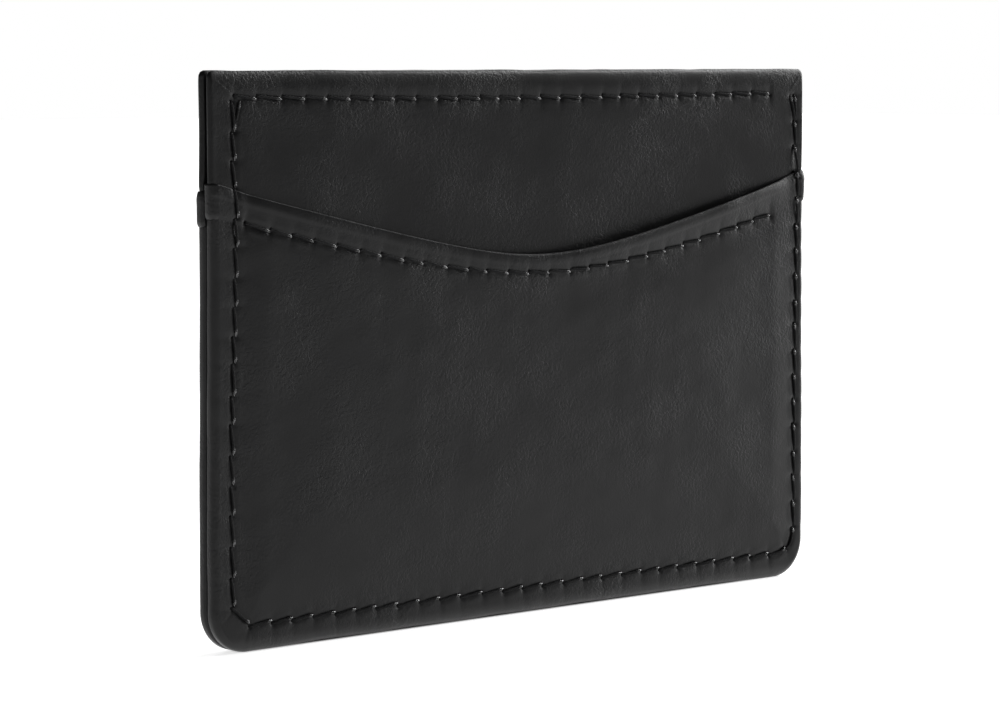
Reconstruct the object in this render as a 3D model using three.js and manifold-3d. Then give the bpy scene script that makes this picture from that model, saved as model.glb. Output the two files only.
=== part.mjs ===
// A slim leather card holder: two turned-edge body halves with a slot between them, and one outer
// pocket on each half whose leather wraps round the sides and the bottom. Millimetres, +Z up, front
// towards -Y, standing on its bottom edge with the origin at the middle of that edge.
//
// Each half is drawn flat, in its own plane: x across, y up, and z outwards from the middle plane of
// the holder. A group then turns the half upright, and the back half is turned round to face back.

import * as THREE from 'three';
import * as BufferGeometryUtils from 'three/addons/utils/BufferGeometryUtils.js';
import Module from 'manifold-3d';

// ---- overall size ----
const BODY_WIDTH = 101.2;
const HEIGHT = 70;
const CORNER_ACROSS = 4.8; // of the bottom corners
const CORNER_UP = 4.9;

// ---- leather, board and cloth, in the thickness of one half ----
const FACE = 0.4; // thickness of the outer leather
const BODY_TURN = 0.25; // thinned edge of the body leather, turned in over the board
const BOARD = 0.2;
const LINING = 0.15;
const POCKET_TURN = 0.35; // thinned edge of the pocket leather, between the two halves
const HEM = 0.25; // thinned edge of the pocket leather, turned in at the mouth
const PLY_GAP = 0.02; // between glued layers
const CARD_ROOM = 0.8; // a 0.76 mm card slides in

// ---- the layers of one half, as distances from the middle plane ----
const BODY_IN = CARD_ROOM / 2;
const TURN_OUT = BODY_IN + BODY_TURN;
const FACE_IN = TURN_OUT + BOARD + 2 * PLY_GAP;
const BODY_OUT = FACE_IN + FACE;
const POCKET_IN = BODY_OUT + PLY_GAP;
const SEWN_OUT = POCKET_IN + FACE; // the pocket leather where it is sewn down
const TAB_OUT = SEWN_OUT + HEM - PLY_GAP; // and where its hem doubles it
const POCKET_TOP = BODY_OUT + CARD_ROOM + HEM + FACE; // and where it stands over a card

// ---- turned edges ----
const EDGE_ROUND = 0.28;
const BODY_TURN_WIDTH = 8;
const POCKET_TURN_WIDTH = 6;
const WRAP = 0.3; // how far the pocket leather stands out past the edge of the body
const TAB_WRAP = 0.42; // and the doubled hem
const WRAP_GAP = 0.03;
const BOARD_MARGIN = 0.5;
const LINING_MARGIN = 0.15;

// ---- pocket ----
// The mouth is a shallow V with a rounded middle, a little off centre.
const MOUTH_LOWEST = 46.5; // height of the front mouth in the middle
const MOUTH_CENTRE = 1;
const MOUTH_ROUND = 14;
const MOUTH_SLOPE = 0.2535; // towards which its sides straighten
const BACK_MOUTH_DROP = 0.45; // the back mouth lies a little lower than the front one
const SEWN_MARGIN = 4; // flat band along the edge of the body, with the seam in it
const SWELL = 3; // width over which the pocket rises from that band
const SWELL_CORNER = 1.2; // corner radius of its flat part
const TAB_OVERLAP = 0.2; // how far the tab reaches under the swelling

// ---- seams ----
const SEAM_LEFT = 2.8; // of the seam round the edge, in from the left of the body, seen from the front
const SEAM_RIGHT = 1.5; // and in from its right, where it runs nearer to the edge
const SEAM_BOTTOM = 3.3; // up from the bottom
const TOP_SEAM = 3.3;
// The seam along the mouth is sewn to a rounder line, so it lies lower towards the sides.
const MOUTH_SEAM_BELOW = 2.4; // under the mouth, in the middle
const MOUTH_SEAM_CENTRE = 2;
const MOUTH_SEAM_ROUND = 24;
const MOUTH_SEAM_SLOPE = 0.2565;
const HEM_PAST_SEAM = 0.7;
const SEAM_END = 2.6; // how far below the top edge the side seams stop
const SEAM_GAP = 0.8; // from the end of one seam to the line of the next
const MOUTH_SEAM_STOP = 1; // the mouth seam stops short of where the pocket comes down to the band
const STITCH = 3.5;
const CHANNEL_WIDTH = 0.56;
const CHANNEL_DEPTH = 0.22;
const MOUTH_CHANNEL_DEPTH = 0.32;
const THREAD = 0.2;
const THREAD_CREST = 0.02; // the middle of the thread over the leather, halfway along a stitch
const THREAD_DIP = -0.1; // and at a needle hole

const HALF_WIDTH = BODY_WIDTH / 2;
const SEAM_INSET = (SEAM_LEFT + SEAM_RIGHT) / 2;
const SEAM_SHIFT = (SEAM_LEFT - SEAM_RIGHT) / 2; // of its middle from the middle of the holder
const SEAM_LIFT = SEAM_BOTTOM - WRAP - SEAM_INSET; // over an outline of that inset
const FAR = 20; // past every edge of the part

const LEATHER_BLACK = 0x1b1b1d;
const POCKET_BLACK = 0x1d1d1f;
const THREAD_BLACK = 0x121213;
const BOARD_GREY = 0x6f6a62;
const LINING_BLACK = 0x202022;

const wasm = await Module();
wasm.setup();

function solid(geometry) {
  const plain = geometry.clone();
  plain.deleteAttribute('normal');
  plain.deleteAttribute('uv');
  const merged = BufferGeometryUtils.mergeVertices(plain, 1e-4);
  const vertProperties = new Float32Array(merged.attributes.position.array);
  const triVerts = new Uint32Array(merged.index.array);
  return new wasm.Manifold(new wasm.Mesh({ numProp: 3, vertProperties, triVerts }));
}

function geometryOf(manifold) {
  const mesh = manifold.getMesh();
  const geometry = new THREE.BufferGeometry();
  geometry.setAttribute('position', new THREE.BufferAttribute(mesh.vertProperties, 3));
  geometry.setIndex(new THREE.BufferAttribute(mesh.triVerts, 1));
  geometry.computeVertexNormals();
  return geometry;
}

// The outline of the holder, moved in by inset (out where it is negative), with a straight top.
function outline(inset, top, leastCorner = 0.8) {
  const side = HALF_WIDTH - inset;
  const bottom = WRAP + inset;
  const across = Math.max(CORNER_ACROSS - inset, leastCorner);
  const up = Math.max(CORNER_UP - inset, leastCorner);
  const shape = new THREE.Shape();
  shape.moveTo(-side, top);
  shape.lineTo(-side, bottom + up);
  shape.absellipse(-side + across, bottom + up, across, up, Math.PI, 1.5 * Math.PI, false, 0);
  shape.lineTo(side - across, bottom);
  shape.absellipse(side - across, bottom + up, across, up, 1.5 * Math.PI, 2 * Math.PI, false, 0);
  shape.lineTo(side, top);
  shape.closePath();
  return shape;
}

function rectangle(left, right, bottom, top) {
  const shape = new THREE.Shape();
  shape.moveTo(left, bottom);
  shape.lineTo(right, bottom);
  shape.lineTo(right, top);
  shape.lineTo(left, top);
  shape.closePath();
  return shape;
}

// A plate from one distance to another, with square edges.
function plate(shape, from, to) {
  const settings = { depth: to - from, bevelEnabled: false, curveSegments: 6 };
  return solid(new THREE.ExtrudeGeometry(shape, settings).translate(0, 0, from));
}

// A plate whose edges are rounded all round, as a turned edge is.
function roundedPlate(shape, from, to, round) {
  const geometry = new THREE.ExtrudeGeometry(shape, {
    depth: to - from - 2 * round,
    bevelThickness: round,
    bevelSize: round,
    bevelOffset: -round,
    bevelSegments: 2,
    curveSegments: 6,
  });
  return solid(geometry.translate(0, 0, from + round));
}

// A line across the pocket whose lowest point is at centre, round there and straighter further out.
function smile(x, centre, lowest, round, slope) {
  return lowest + slope * (Math.hypot(x - centre, round) - round);
}

function mouthHeight(x, lowest) {
  return smile(x, MOUTH_CENTRE, lowest, MOUTH_ROUND, MOUTH_SLOPE);
}

function mouthSeamHeight(x, lowest) {
  const seamLowest = lowest - MOUTH_SEAM_BELOW;
  return smile(x, MOUTH_SEAM_CENTRE, seamLowest, MOUTH_SEAM_ROUND, MOUTH_SEAM_SLOPE);
}

// The edge of the hem inside the pocket, just past the seam that holds it.
function hemHeight(x, lowest) {
  return mouthSeamHeight(x, lowest) - HEM_PAST_SEAM;
}

// The band between two lines across the pocket, each given as its height at a place across.
function bandBetween(upperAt, lowerAt) {
  const reach = HALF_WIDTH + 2 * TAB_WRAP;
  const steps = 18;
  const places = Array.from({ length: steps + 1 }, (_, i) => -reach + (2 * reach * i) / steps);
  const upper = places.map((x) => new THREE.Vector2(x, upperAt(x)));
  const lower = places.map((x) => new THREE.Vector2(x, lowerAt(x))).reverse();
  return plate(new THREE.Shape([...upper, ...lower]), 0, FAR);
}

// The solid under the swelling of the pocket: it rises from the sewn band in a quarter round.
// A shrunk one, less by so much all round, is the room inside the leather.
function swelling(less) {
  const shape = outline(SEWN_MARGIN + less, HEIGHT + FAR, SWELL + SWELL_CORNER);
  const rise = POCKET_TOP - SEWN_OUT;
  const inBody = plate(rectangle(-HALF_WIDTH, HALF_WIDTH, 0, HEIGHT + 2 * FAR), -FAR, FACE_IN);
  const geometry = new THREE.ExtrudeGeometry(shape, {
    depth: FACE,
    bevelThickness: rise,
    bevelSize: SWELL,
    bevelOffset: -SWELL,
    bevelSegments: 4,
    curveSegments: 6,
  });
  return solid(geometry.translate(0, 0, POCKET_TOP - less - FACE - rise)).subtract(inBody);
}

// The surface that swelling(less) has at a place across, well above the bottom corners.
function swellingHeight(x, less) {
  const start = HALF_WIDTH - SEWN_MARGIN - less;
  const into = Math.min((start - Math.abs(x)) / SWELL, 1);
  const rise = POCKET_TOP - SEWN_OUT;
  if (into <= 0) return SEWN_OUT - less;
  return SEWN_OUT - less + rise * Math.sqrt(1 - (1 - into) ** 2);
}

// The channel along the side and bottom seams, down to a depth. facing is 1 for the front half and
// -1 for the back half, which sees the seam mirrored.
function seamChannel(floor, facing) {
  const top = HEIGHT - SEAM_END + CHANNEL_WIDTH / 2 - SEAM_LIFT;
  const outer = plate(outline(SEAM_INSET - CHANNEL_WIDTH / 2, top), floor, FAR);
  const inner = plate(outline(SEAM_INSET + CHANNEL_WIDTH / 2, HEIGHT + FAR), 0, 2 * FAR);
  return outer.subtract(inner).translate([facing * SEAM_SHIFT, SEAM_LIFT, 0]);
}

// The channel of the seam under the top edge.
function topChannel(from, to) {
  const low = HEIGHT - TOP_SEAM - CHANNEL_WIDTH / 2;
  return plate(rectangle(-seamReach(), seamReach(), low, low + CHANNEL_WIDTH), from, to);
}

// The body leather: its face, and its four thinned edges turned in over the board.
function bodyLeather(facing) {
  const whole = roundedPlate(outline(0, HEIGHT), BODY_IN, BODY_OUT, EDGE_ROUND);
  const boardRoom = plate(outline(BOARD_MARGIN, HEIGHT - BOARD_MARGIN), TURN_OUT, FACE_IN);
  const window = plate(outline(BODY_TURN_WIDTH, HEIGHT - BODY_TURN_WIDTH), 0, FACE_IN);
  return whole
    .subtract(boardRoom)
    .subtract(window)
    .subtract(seamChannel(BODY_OUT - CHANNEL_DEPTH, facing))
    .subtract(topChannel(BODY_OUT - CHANNEL_DEPTH, FAR))
    .subtract(topChannel(0, BODY_IN + THREAD));
}

function stiffener() {
  const inset = BOARD_MARGIN + WRAP_GAP;
  return plate(outline(inset, HEIGHT - inset), TURN_OUT + PLY_GAP, FACE_IN - PLY_GAP);
}

function lining() {
  const inset = BODY_TURN_WIDTH + LINING_MARGIN;
  return plate(outline(inset, HEIGHT - inset), TURN_OUT - LINING, TURN_OUT);
}

// How far the channel of a seam that runs across reaches: up to the left side seam.
function seamReach() {
  return HALF_WIDTH - SEAM_LEFT - SEAM_GAP;
}

// The channel of the seam along the mouth, open at both faces of the leather.
function mouthChannel(lowest) {
  const half = CHANNEL_WIDTH / 2;
  const band = bandBetween(
    (x) => mouthSeamHeight(x, lowest) + half,
    (x) => mouthSeamHeight(x, lowest) - half
  );
  return band.intersect(plate(rectangle(-seamReach(), seamReach(), 0, HEIGHT), 0, FAR));
}

// The pocket leather: its face, its hem turned in at the mouth, and its edges, which wrap round the
// sides and the bottom of the body half and end between the two halves. Where the doubled hem wraps
// round a side it makes a thicker tab.
function pocketLeather(lowest, facing) {
  const top = HEIGHT + FAR;
  const mouthAt = (x) => mouthHeight(x, lowest);
  const hemBand = bandBetween(mouthAt, (x) => hemHeight(x, lowest));
  const sewn = roundedPlate(outline(-WRAP, top), PLY_GAP, SEWN_OUT, EDGE_ROUND);
  const doubled = roundedPlate(outline(-TAB_WRAP, top), PLY_GAP, TAB_OUT, EDGE_ROUND);
  const tabStart = HALF_WIDTH - SEWN_MARGIN - TAB_OVERLAP;
  const betweenTabs = plate(rectangle(-tabStart, tabStart, 0, top), 0, FAR);
  const tabs = doubled.intersect(hemBand).subtract(betweenTabs);
  const outside = sewn.add(swelling(0)).add(tabs);

  const bodyRoom = roundedPlate(outline(-WRAP_GAP, top), PLY_GAP + POCKET_TURN, POCKET_IN, EDGE_ROUND);
  const inTheSlot = plate(outline(POCKET_TURN_WIDTH, top), 0, BODY_IN);
  const cardRoom = swelling(FACE).subtract(hemBand).add(swelling(FACE + HEM).intersect(hemBand));
  const leather = outside.subtract(bodyRoom).subtract(inTheSlot).subtract(cardRoom);

  const channel = mouthChannel(lowest);
  return leather
    .subtract(seamChannel(TAB_OUT - CHANNEL_DEPTH, facing).intersect(hemBand))
    .subtract(seamChannel(SEWN_OUT - CHANNEL_DEPTH, facing).subtract(hemBand))
    .subtract(channel.subtract(swelling(MOUTH_CHANNEL_DEPTH)))
    .subtract(channel.intersect(swelling(FACE + HEM - THREAD)))
    .intersect(bandBetween(mouthAt, () => -FAR));
}

// A seam's thread, from a function that gives its place on the leather at each fraction of the way.
class StitchLine extends THREE.Curve {
  constructor(placeAt, stitches, crest, dip) {
    super();
    this.placeAt = placeAt;
    this.stitches = stitches;
    this.crest = crest;
    this.dip = dip;
  }

  getPoint(t, target = new THREE.Vector3()) {
    const along = t * this.stitches;
    const near = Math.abs(along - Math.round(along)) * 2; // 0 at a needle hole, 1 halfway
    const place = this.placeAt(t);
    return target.set(place.x, place.y, place.z + this.dip + (this.crest - this.dip) * near);
  }

  getPointAt(t, target) {
    return this.getPoint(t, target);
  }
}

function thread(placeAt, length, crest, dip) {
  const stitches = Math.round(length / STITCH);
  const straight = crest === dip;
  const line = new StitchLine(placeAt, stitches, crest, dip);
  const half = THREAD / 2;
  return new THREE.ExtrudeGeometry(rectangle(-half, half, -half, half), {
    steps: straight ? stitches : 2 * stitches,
    extrudePath: line,
    bevelEnabled: false,
  });
}

// The way of the side and bottom seams: down the left side, along the bottom and up the right side,
// over the leather of the pocket and, above its mouth, of the body.
function perimeterThread(lowest, facing) {
  const path = new THREE.Path();
  const left = facing * SEAM_SHIFT - (HALF_WIDTH - SEAM_INSET);
  const right = facing * SEAM_SHIFT + (HALF_WIDTH - SEAM_INSET);
  const top = HEIGHT - SEAM_END;
  const across = CORNER_ACROSS - SEAM_INSET;
  const up = CORNER_UP - SEAM_INSET;
  const straight = SEAM_BOTTOM + up;
  path.moveTo(left, top);
  path.lineTo(left, straight);
  path.absellipse(left + across, straight, across, up, Math.PI, 1.5 * Math.PI, false, 0);
  path.lineTo(right - across, SEAM_BOTTOM);
  path.absellipse(right - across, straight, across, up, 1.5 * Math.PI, 2 * Math.PI, false, 0);
  path.lineTo(right, top);
  const placeAt = (t) => {
    const flat = path.getPointAt(t);
    let level = SEWN_OUT;
    if (flat.y > hemHeight(flat.x, lowest) - STITCH / 2) level = TAB_OUT;
    if (flat.y > mouthHeight(flat.x, lowest) + STITCH / 2) level = BODY_OUT;
    return new THREE.Vector3(flat.x, flat.y, level);
  };
  return thread(placeAt, path.getLength(), THREAD_CREST, THREAD_DIP);
}

function topThread(level, crest, dip) {
  const reach = seamReach() - THREAD;
  const placeAt = (t) => new THREE.Vector3(reach * (2 * t - 1), HEIGHT - TOP_SEAM, level);
  return thread(placeAt, 2 * reach, crest, dip);
}

function mouthThread(lowest, less, crest, dip) {
  const reach = HALF_WIDTH - SEWN_MARGIN - less - MOUTH_SEAM_STOP;
  const placeAt = (t) => {
    const x = reach * (2 * t - 1);
    return new THREE.Vector3(x, mouthSeamHeight(x, lowest), swellingHeight(x, less));
  };
  return thread(placeAt, 2 * reach, crest, dip);
}

function piece(name, geometry, color, roughness) {
  const material = new THREE.MeshStandardMaterial({ color, roughness, metalness: 0 });
  const mesh = new THREE.Mesh(geometry, material);
  mesh.name = name;
  return mesh;
}

// One half of the holder, with its pocket and its seams. The perimeter seam goes through both
// halves: its needle thread lies on the front and its bobbin thread on the back.
function half(name, facing, lowest, perimeterName) {
  const sunk = THREAD / 2 - PLY_GAP;
  const group = new THREE.Group();
  group.rotation.x = Math.PI / 2;
  group.add(
    piece(`${name}_body`, geometryOf(bodyLeather(facing)), LEATHER_BLACK, 0.45),
    piece(`${name}_stiffener`, geometryOf(stiffener()), BOARD_GREY, 0.9),
    piece(`${name}_lining`, geometryOf(lining()), LINING_BLACK, 0.8),
    piece(`${name}_pocket`, geometryOf(pocketLeather(lowest, facing)), POCKET_BLACK, 0.42),
    piece(perimeterName, perimeterThread(lowest, facing), THREAD_BLACK, 0.6),
    piece(
      `${name}_top_needle_thread`,
      topThread(BODY_OUT, THREAD_CREST, THREAD_DIP),
      THREAD_BLACK,
      0.6
    ),
    piece(`${name}_top_bobbin_thread`, topThread(BODY_IN, sunk, sunk), THREAD_BLACK, 0.6),
    piece(
      `${name}_mouth_needle_thread`,
      mouthThread(lowest, 0, THREAD_CREST, THREAD_DIP),
      THREAD_BLACK,
      0.6
    ),
    piece(
      `${name}_mouth_bobbin_thread`,
      mouthThread(lowest, FACE + HEM, sunk, sunk),
      THREAD_BLACK,
      0.6
    )
  );
  return group;
}

const holder = new THREE.Group();
holder.add(half('front', 1, MOUTH_LOWEST, 'perimeter_needle_thread'));

const back = new THREE.Group();
back.rotation.z = Math.PI;
back.add(half('back', -1, MOUTH_LOWEST - BACK_MOUTH_DROP, 'perimeter_bobbin_thread'));
holder.add(back);

export default holder;
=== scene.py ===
"""The looks of a slim leather card holder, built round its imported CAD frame.

Each half is drawn in its own plane, in millimetres: x across, y up, and the third number out from
the middle plane of the holder. to_frame turns that into the frame's metres, and the back half is
the front turned half round.
"""

import math

import bmesh
import bpy
import numpy as np
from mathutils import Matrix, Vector


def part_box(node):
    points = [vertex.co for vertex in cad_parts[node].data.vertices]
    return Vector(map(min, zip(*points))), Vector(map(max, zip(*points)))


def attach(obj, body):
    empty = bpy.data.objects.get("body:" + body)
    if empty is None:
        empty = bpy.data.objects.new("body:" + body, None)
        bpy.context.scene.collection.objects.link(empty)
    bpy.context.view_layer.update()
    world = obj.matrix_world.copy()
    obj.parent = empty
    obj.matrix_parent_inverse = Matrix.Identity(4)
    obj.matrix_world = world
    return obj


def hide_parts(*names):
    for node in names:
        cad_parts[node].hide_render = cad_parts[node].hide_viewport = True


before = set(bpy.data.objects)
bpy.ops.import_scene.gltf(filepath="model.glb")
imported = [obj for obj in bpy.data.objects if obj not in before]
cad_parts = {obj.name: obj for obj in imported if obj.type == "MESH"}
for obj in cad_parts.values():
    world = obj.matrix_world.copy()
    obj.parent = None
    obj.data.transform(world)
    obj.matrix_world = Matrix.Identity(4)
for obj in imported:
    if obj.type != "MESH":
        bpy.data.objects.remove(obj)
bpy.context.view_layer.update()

MM = 0.001


def reach(node):
    """A node of the front half: half its width, its lowest and highest, its inmost and outmost."""
    low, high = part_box(node)
    return high.x / MM, low.z / MM, high.z / MM, -high.y / MM, -low.y / MM


# ---- sizes from the frame ----
HALF_WIDTH, BODY_LOW, HEIGHT, BODY_IN, BODY_OUT = reach("front_body")
TAB_HALF_WIDTH, POCKET_LOW, MOUTH_END, SLOT_GAP, _ = reach("front_pocket")
LINING_HALF_WIDTH, LINING_LOW, LINING_HIGH, LINING_IN, LINING_OUT = reach("front_lining")
BACK_MOUTH_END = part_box("back_pocket")[1].z / MM

# ---- leather ----
FACE = 0.4
BODY_TURN = 0.25
POCKET_TURN = 0.35
HEM = 0.2
PLY_GAP = 0.02
FACE_IN = BODY_OUT - FACE
TURN_OUT = BODY_IN + BODY_TURN
POCKET_IN = BODY_OUT + PLY_GAP
SEWN_OUT = POCKET_IN + FACE
BODY_TURN_WIDTH = 8.0
POCKET_TURN_WIDTH = 6.0

# ---- outline ----
CORNER_ACROSS = 4.8
CORNER_UP = 4.9
TOP_CORNER = 0.15
WRAP = 0.3
TAB_MORE = TAB_HALF_WIDTH - HALF_WIDTH - WRAP
BODY_ROUND = (BODY_OUT - BODY_IN) / 2
POCKET_ROUND = 0.8
SLOT_ROUND = 0.5
TOP_DROP = 0.22
TOP_FALL = 0.6
BOW = 0.3
ARCH = 0.2
TAB_SHARE = 0.55

# ---- mouth of a pocket ----
MOUTH_CENTRE = 1.0
MOUTH_ROUND = 14.0
MOUTH_SLOPE = 0.2535
MOUTH_SEAM_BELOW = 2.4
MOUTH_SEAM_CENTRE = 2.0
MOUTH_SEAM_ROUND = 24.0
MOUTH_SEAM_SLOPE = 0.2565
HEM_PAST_SEAM = 0.4
HEM_MOST = 4.1
END_LIFT = 0.25
ROLL = 1.25
NARROW_ROLL = 0.12

# ---- seams ----
STITCH = 3.5
TOP_SEAM = 3.3
BOTTOM_SEAM = 3.35
LEFT_SEAM = 2.5, 3.3  # in from the left of the body, low down and high up
RIGHT_SEAM = 1.6, 1.4
SEAM_TOP = HEIGHT - 3.4
TACK_ASIDE = 1.0
THREAD = 0.2
THREAD_DIP = 0.32  # how deep a stitch goes into its needle holes

# ---- how the stitches press the leather, as a height or depth and a half width ----
GROOVE = 0.07, 0.38
TACK_GROOVE = 0.09, 0.36
PIT = 0.2, 0.28
TROUGH = 0.07, 1.3
BULGE = 0.03, 0.45
BULGE_ASIDE = 0.8
FOLD = 0.05, 0.5
FOLD_REACH = 1.2

# ---- grids of points ----
FINE = 0.18
SIDE_BAND = 44.0  # further out than this the points are closer together
BODY_SIDE = HALF_WIDTH - BODY_ROUND
BODY_FOOT = BODY_LOW + BODY_ROUND
BODY_HEAD = HEIGHT - BODY_ROUND
POCKET_SIDE = HALF_WIDTH + WRAP - POCKET_ROUND
POCKET_FOOT = POCKET_LOW + POCKET_ROUND
HEM_BAND = 6.5
FOOT_BAND = 8.0
ROLL_STEPS = 12
FOLD_ROWS = 9
POCKET_RUN_STEPS = 3

FRONT, BACK = 1, -1


def to_frame(points, facing):
    """Points of a half, in its own plane and millimetres, in the frame's metres."""
    points = np.asarray(points, float)
    across, up, out = points[..., 0], points[..., 1], points[..., 2]
    return np.stack([facing * across, -facing * out, up], axis=-1) * MM


def smooth(t):
    t = np.clip(t, 0, 1)
    return t * t * (3 - 2 * t)


def smile(x, centre, lowest, rounding, slope):
    """A line across the pocket, lowest at centre, round there and straighter further out."""
    return lowest + slope * (np.hypot(x - centre, rounding) - rounding)


def dent(distance, size):
    """A round groove: size is its depth and half width."""
    depth, width = size
    return depth * np.exp(-(distance / width) ** 2)


class Mouth:
    """The mouth of one pocket, from the height of its ends."""

    def __init__(self, end):
        rise = smile(-TAB_HALF_WIDTH, MOUTH_CENTRE, 0, MOUTH_ROUND, MOUTH_SLOPE)
        self.end = end
        self.lowest = end - rise

    def height(self, x):
        lift = END_LIFT * smooth((np.abs(x) - 44.5) / 5)
        return smile(x, MOUTH_CENTRE, self.lowest, MOUTH_ROUND, MOUTH_SLOPE) + lift

    def seam(self, x):
        lowest = self.lowest - MOUTH_SEAM_BELOW
        return smile(x, MOUTH_SEAM_CENTRE, lowest, MOUTH_SEAM_ROUND, MOUTH_SEAM_SLOPE)

    def below(self, x, y):
        """How far under the mouth a place is, square to the edge."""
        lean = MOUTH_SLOPE * (x - MOUTH_CENTRE) / np.hypot(x - MOUTH_CENTRE, MOUTH_ROUND)
        return (self.height(x) - y) / np.hypot(1, lean)

    def hem(self, x, y):
        """1 on the doubled hem, 0 below it."""
        edge = self.height(x) - self.seam(x) + HEM_PAST_SEAM
        return smooth((np.minimum(edge, HEM_MOST) - self.height(x) + y) / 0.4)


def off_line(x, y, start, end):
    """How far places are from a straight stitch."""
    run = end - start
    share = np.clip(((x - start[0]) * run[0] + (y - start[1]) * run[1]) / (run @ run), 0, 1)
    return np.hypot(x - start[0] - share * run[0], y - start[1] - share * run[1])


class Seam:
    """A seam: its line as a close row of points, and the needle holes along it."""

    def __init__(self, points, seed, first=0.0, slant=0.22, holes=None):
        self.points = np.array(points, float)
        steps = np.hypot(*np.diff(self.points, axis=0).T)
        self.along = np.concatenate([[0], np.cumsum(steps)])
        tangent = np.gradient(self.points, self.along, axis=0)
        self.tangent = tangent / np.hypot(*tangent.T)[:, None]
        self.left = np.stack([-self.tangent[:, 1], self.tangent[:, 0]], axis=1)
        self.length = self.along[-1]
        self.slant = slant
        if holes is None:
            rng = np.random.default_rng(seed)
            count = int((self.length - first) / STITCH) + 1
            wander = rng.normal(0, 0.13, count)
            holes = np.clip(first + STITCH * np.arange(count) + wander, 0, self.length)
        self.holes = holes
        self.tacks = []
        self.strength = 1 + 0.25 * np.random.default_rng(seed + 1).normal(0, 1, len(self.holes))

    def turned(self):
        """The same seam seen from the other side of the holder."""
        points = self.points[::-1] * [-1, 1]
        other = Seam(points, 0, slant=self.slant, holes=self.length - self.holes[::-1])
        other.tacks = [[place * [-1, 1] for place in tack] for tack in self.tacks]
        return other

    def pull_hole_to(self, distance):
        """Shifts the holes near a place along the seam so that one of them falls on it."""
        nearest = self.holes[np.abs(self.holes - distance).argmin()]
        self.holes = self.holes + (distance - nearest) * np.exp(-((self.holes - distance) / 16) ** 2)

    def tack_ends(self, aside):
        """A second stitch at each end, from the last hole but one to a place beside the last."""
        for near, end in ((self.holes[1], self.holes[0]), (self.holes[-2], self.holes[-1])):
            self.tacks.append([self.at(near), self.at(end, aside)])

    def at(self, distance, side=0.0):
        place = [np.interp(distance, self.along, self.points[:, i]) for i in (0, 1)]
        left = [np.interp(distance, self.along, self.left[:, i]) for i in (0, 1)]
        return np.stack([place[0] + side * left[0], place[1] + side * left[1]], axis=-1)

    def locate(self, x, y):
        """How far along the seam each place is, and how far to its left."""
        flat = np.stack([x.ravel(), y.ravel()], axis=1)
        nearest = np.empty(len(flat), int)
        chunk = 4096
        for start in range(0, len(flat), chunk):
            part = flat[start:start + chunk, None] - self.points[None]
            nearest[start:start + chunk] = (part**2).sum(-1).argmin(1)
        offset = flat - self.points[nearest]
        along = self.along[nearest] + (offset * self.tangent[nearest]).sum(1)
        left = (offset * self.left[nearest]).sum(1)
        return along.reshape(x.shape), left.reshape(x.shape)

    def relief(self, x, y, depth=1.0, pucker_left=1.0, pucker_right=1.0):
        """How the stitches press the leather in, and how it bulges between them."""
        along, left = self.locate(x, y)
        last = len(self.holes) - 1
        behind = np.clip(np.searchsorted(self.holes, along) - 1, 0, last - 1)
        start, end = self.holes[behind], self.holes[behind + 1]
        t = np.clip((along - start) / (end - start), 0, 1)
        to_hole = np.minimum(np.abs(along - start), np.abs(along - end))
        middle = np.sin(np.pi * t)
        off_stitch = left - self.slant * (2 * t - 1)
        strength = self.strength[behind]
        dash = np.exp(-(np.abs(t - 0.5) / 0.38) ** 4)
        groove = dent(off_stitch, GROOVE) * dash * strength
        pit = PIT[0] * np.exp(-(to_hole**2 + off_stitch**2) / PIT[1] ** 2)
        trough = dent(left, TROUGH)
        reach_out = np.where(left > 0, pucker_left, pucker_right)
        beside = np.abs(off_stitch)
        bulge = BULGE[0] * middle * np.exp(-((beside - BULGE_ASIDE) / BULGE[1]) ** 2) * strength
        fold = dent(to_hole, FOLD) * np.exp(-(beside / (FOLD_REACH * reach_out)) ** 2)
        for start_at, end_at in self.tacks:
            groove = groove + dent(off_line(x, y, start_at, end_at), TACK_GROOVE)
        past = np.maximum(self.holes[0] - along, along - self.holes[-1])
        fade = np.exp(-(np.maximum(past, 0) / 0.5) ** 2)
        return depth * fade * (bulge - groove - pit - trough - fold)


def side_of_seam(low_inset, high_inset, bends, step):
    """The seam down one side and round its corner in some straight stretches, as for the right."""
    across, up = CORNER_ACROSS - low_inset, CORNER_UP - low_inset
    corner_top = BOTTOM_SEAM + up
    down = np.arange(SEAM_TOP, corner_top, -step)
    inset = low_inset + (high_inset - low_inset) * smooth((down - 22) / 28)
    side = np.stack([HALF_WIDTH - inset, down], axis=1)
    turn = np.linspace(0, np.pi / 2, bends + 1)
    corner_x = HALF_WIDTH - CORNER_ACROSS + across * np.cos(turn)
    corner = np.stack([corner_x, corner_top - up * np.sin(turn)], axis=1)
    return np.concatenate([side, resampled(corner, 12)[:-1]])


def perimeter_seam():
    """Down the left side, along the bottom and up the right side, nearer to the edge there."""
    step = 0.4
    left = side_of_seam(*LEFT_SEAM, 1, step) * [-1, 1]
    right = side_of_seam(*RIGHT_SEAM, 9, step)
    bottom_x = np.arange(CORNER_ACROSS - HALF_WIDTH, HALF_WIDTH - CORNER_ACROSS, step)
    bottom = np.stack([bottom_x, np.full(len(bottom_x), BOTTOM_SEAM)], axis=1)
    seam = Seam(np.concatenate([left, bottom, right[::-1]]), seed=11, first=0.2)
    seam.pull_hole_to(seam.along[len(left) - 11])
    seam.tack_ends(TACK_ASIDE)
    return seam


def top_seam(seed):
    reach_x = HALF_WIDTH - max(LEFT_SEAM)
    x = np.arange(-reach_x, reach_x, 0.4)
    sag = 0.35 * (1 - (x / reach_x) ** 2)
    y = HEIGHT - TOP_SEAM + 0.15 - sag
    return Seam(np.stack([x, y], axis=1), seed=seed, first=0.3, slant=-0.2)


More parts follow.
